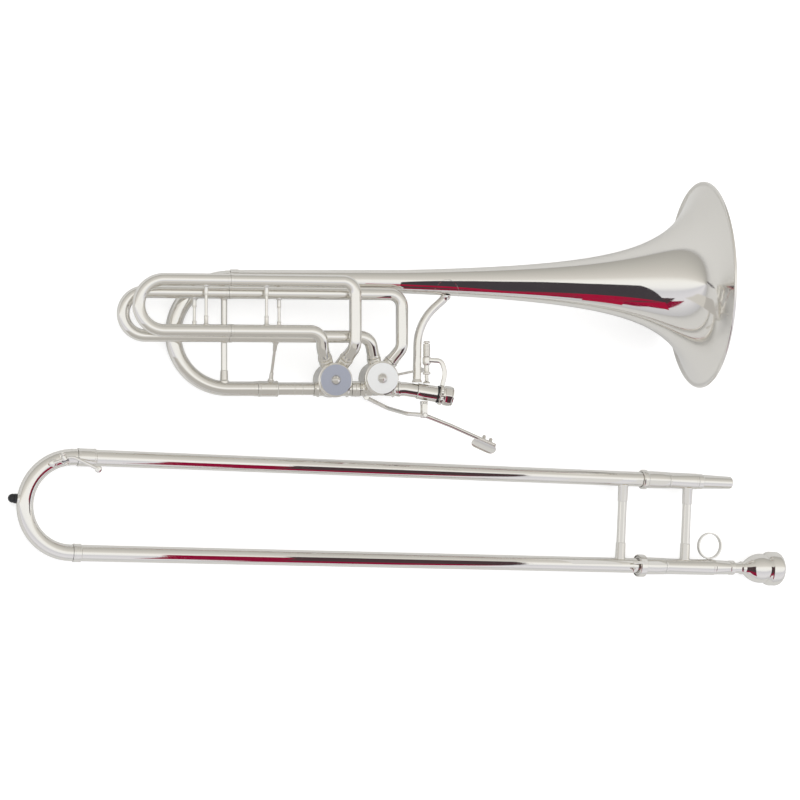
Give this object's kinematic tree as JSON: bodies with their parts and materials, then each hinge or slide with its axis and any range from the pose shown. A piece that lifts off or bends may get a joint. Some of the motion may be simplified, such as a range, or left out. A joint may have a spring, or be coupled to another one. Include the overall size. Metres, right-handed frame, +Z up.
{
  "type": "bass trombone",
  "caption": "Double-valve bass trombone taken apart: the bell section with its rotary valves beside the hand slide with its mouthpiece.",
  "frame": {"origin": "centre of the bounding box's base, on the table that both sections lie on", "axes": "+X along the slide towards the mouthpiece and the bell's mouth, +Y from the hand slide towards the bell section, +Z up from the table"},
  "size_m": [0.932, 0.474, 0.2314],
  "materials": {
    "silver_plate": "polished silver plate on brass",
    "black_rubber": "moulded rubber",
    "bumper_felt": "pressed felt"
  },
  "bodies": {
    "root": {"back_loop_lower_tube": "silver_plate", "back_loop_tube_brace": "silver_plate", "back_loop_upper_tube": "silver_plate", "bell_brace_flange": "silver_plate", "bell_flare": "silver_plate", "bell_stem": "silver_plate", "finger_ring": "silver_plate", "front_loop_lower_tube": "silver_plate", "front_loop_tube_brace": "silver_plate", "front_loop_upper_tube": "silver_plate", "hand_brace": "silver_plate", "inner_slide_brace": "silver_plate", "inner_slide_lower_tube": "silver_plate", "inner_slide_upper_tube": "silver_plate", "lever_1_pivot_screw": "silver_plate", "lever_1_saddle": "silver_plate", "lever_2_post": "silver_plate", "line_brace": "silver_plate", "lower_barrel_felt": "bumper_felt", "lower_brace_ferrule": "silver_plate", "lower_cork_barrel": "silver_plate", "lower_line_tube": "silver_plate", "mouthpiece_receiver": "silver_plate", "neck_pipe": "silver_plate", "slide_receiver": "silver_plate", "slide_tenon": "silver_plate", "upper_barrel_felt": "bumper_felt", "upper_brace_ferrule": "silver_plate", "upper_cork_barrel": "silver_plate", "valve_1_bearing_plate": "silver_plate", "valve_1_cap": "silver_plate", "valve_1_casing": "silver_plate", "valve_2_bearing_plate": "silver_plate", "valve_2_cap": "silver_plate", "valve_2_casing": "silver_plate", "valve_coupling": "silver_plate"},
    "outer_slide": {"outer_slide_upper_tube": "silver_plate", "outer_slide_lower_tube": "silver_plate", "outer_slide_crook": "silver_plate", "outer_slide_brace": "silver_plate", "crook_bumper": "black_rubber", "water_key_saddle": "silver_plate"},
    "water_key": {"water_key_lever": "silver_plate"},
    "main_tuning_slide": {"tuning_slide_crook": "silver_plate", "tuning_slide_brace": "silver_plate"},
    "front_tuning_slide": {"front_loop_crook": "silver_plate"},
    "back_tuning_slide": {"back_loop_crook": "silver_plate"},
    "rotor_1": {"valve_1_rotor": "silver_plate", "valve_1_stop_arm": "silver_plate"},
    "rotor_2": {"valve_2_rotor": "silver_plate", "valve_2_stop_arm": "silver_plate"},
    "lever_1": {"thumb_lever_1": "silver_plate"},
    "lever_2": {"thumb_lever_2": "silver_plate"},
    "link_1": {"link_1": "silver_plate"},
    "link_2": {"link_2": "silver_plate"},
    "lock_ring": {"slide_lock_ring": "silver_plate"},
    "lock_nut": {"receiver_lock_nut": "silver_plate"},
    "mouthpiece": {"mouthpiece": "silver_plate"}
  },
  "joints": [
    {"name": "hand_slide", "type": "slide", "parent": "root", "child": "outer_slide", "axis": [-0.9987, 0.0488, -0.0128], "range_m": [0, 0.6]},
    {"name": "water_key_hinge", "type": "hinge", "parent": "outer_slide", "child": "water_key", "pos_m": [-0.40905, -0.07393, 0.02543], "axis": [-0.3453, 0.9385, -0.005], "range_deg": [0, 20], "stiffness_Nm_per_rad": 0.05, "springref_deg": -17.19},
    {"name": "main_tuning", "type": "slide", "parent": "root", "child": "main_tuning_slide", "axis": [-0.984, 0, -0.1779], "range_m": [0, 0.045]},
    {"name": "front_tuning", "type": "slide", "parent": "root", "child": "front_tuning_slide", "axis": [-0.984, 0, -0.1779], "range_m": [0, 0.05]},
    {"name": "back_tuning", "type": "slide", "parent": "root", "child": "back_tuning_slide", "axis": [-0.984, 0, -0.1779], "range_m": [0, 0.05]},
    {"name": "lever_1_hinge", "type": "hinge", "parent": "root", "child": "lever_1", "pos_m": [-0.01383, -0.02846, 0.05824], "axis": [-0.1779, 0, 0.984], "range_deg": [0, 15], "stiffness_Nm_per_rad": 0.8, "springref_deg": -17.19},
    {"name": "rotor_1_turn", "type": "hinge", "parent": "root", "child": "rotor_1", "pos_m": [-0.06441, 0.01204, 0.0491], "axis": [-0.1779, 0, 0.984], "range_deg": [0, 90]},
    {"name": "link_1_slide", "type": "slide", "parent": "root", "child": "link_1", "axis": [0, -1, 0], "range_m": [0, 0.01556]},
    {"name": "lever_2_hinge", "type": "hinge", "parent": "root", "child": "lever_2", "pos_m": [-0.01078, 0.02954, 0.0588], "axis": [0, 1, 0], "range_deg": [0, 23], "stiffness_Nm_per_rad": 0.3, "springref_deg": -17.19},
    {"name": "rotor_2_turn", "type": "hinge", "parent": "root", "child": "rotor_2", "pos_m": [-0.11509, 0.01004, 0.03993], "axis": [-0.1779, 0, 0.984], "range_deg": [-90, 0]},
    {"name": "link_2_slide", "type": "slide", "parent": "root", "child": "link_2", "axis": [-0.984, 0, -0.1779], "range_m": [0, 0.01556]},
    {"name": "lock_ring_turn", "type": "hinge", "parent": "root", "child": "lock_ring", "pos_m": [0.27744, -0.20765, 0.01827], "axis": [0.9987, -0.0488, 0.0128], "range_deg": [0, 23]},
    {"name": "lock_nut_turn", "type": "hinge", "parent": "root", "child": "lock_nut", "pos_m": [0.00942, -0.0067, 0.06245], "axis": [0.9719, -0.1564, 0.1758], "continuous": true},
    {"name": "mouthpiece_pull", "type": "slide", "parent": "root", "child": "mouthpiece", "axis": [0.9987, -0.0488, 0.0128], "range_m": [0, 0.05]}
  ],
  "couplings": [
    {"joint": "rotor_1_turn", "follows": "lever_1_hinge", "ratio": 6},
    {"joint": "link_1_slide", "follows": "lever_1_hinge", "m_per_rad": 0.05942},
    {"joint": "rotor_2_turn", "follows": "lever_2_hinge", "ratio": -3.913},
    {"joint": "link_2_slide", "follows": "lever_2_hinge", "m_per_rad": 0.03875}
  ]
}
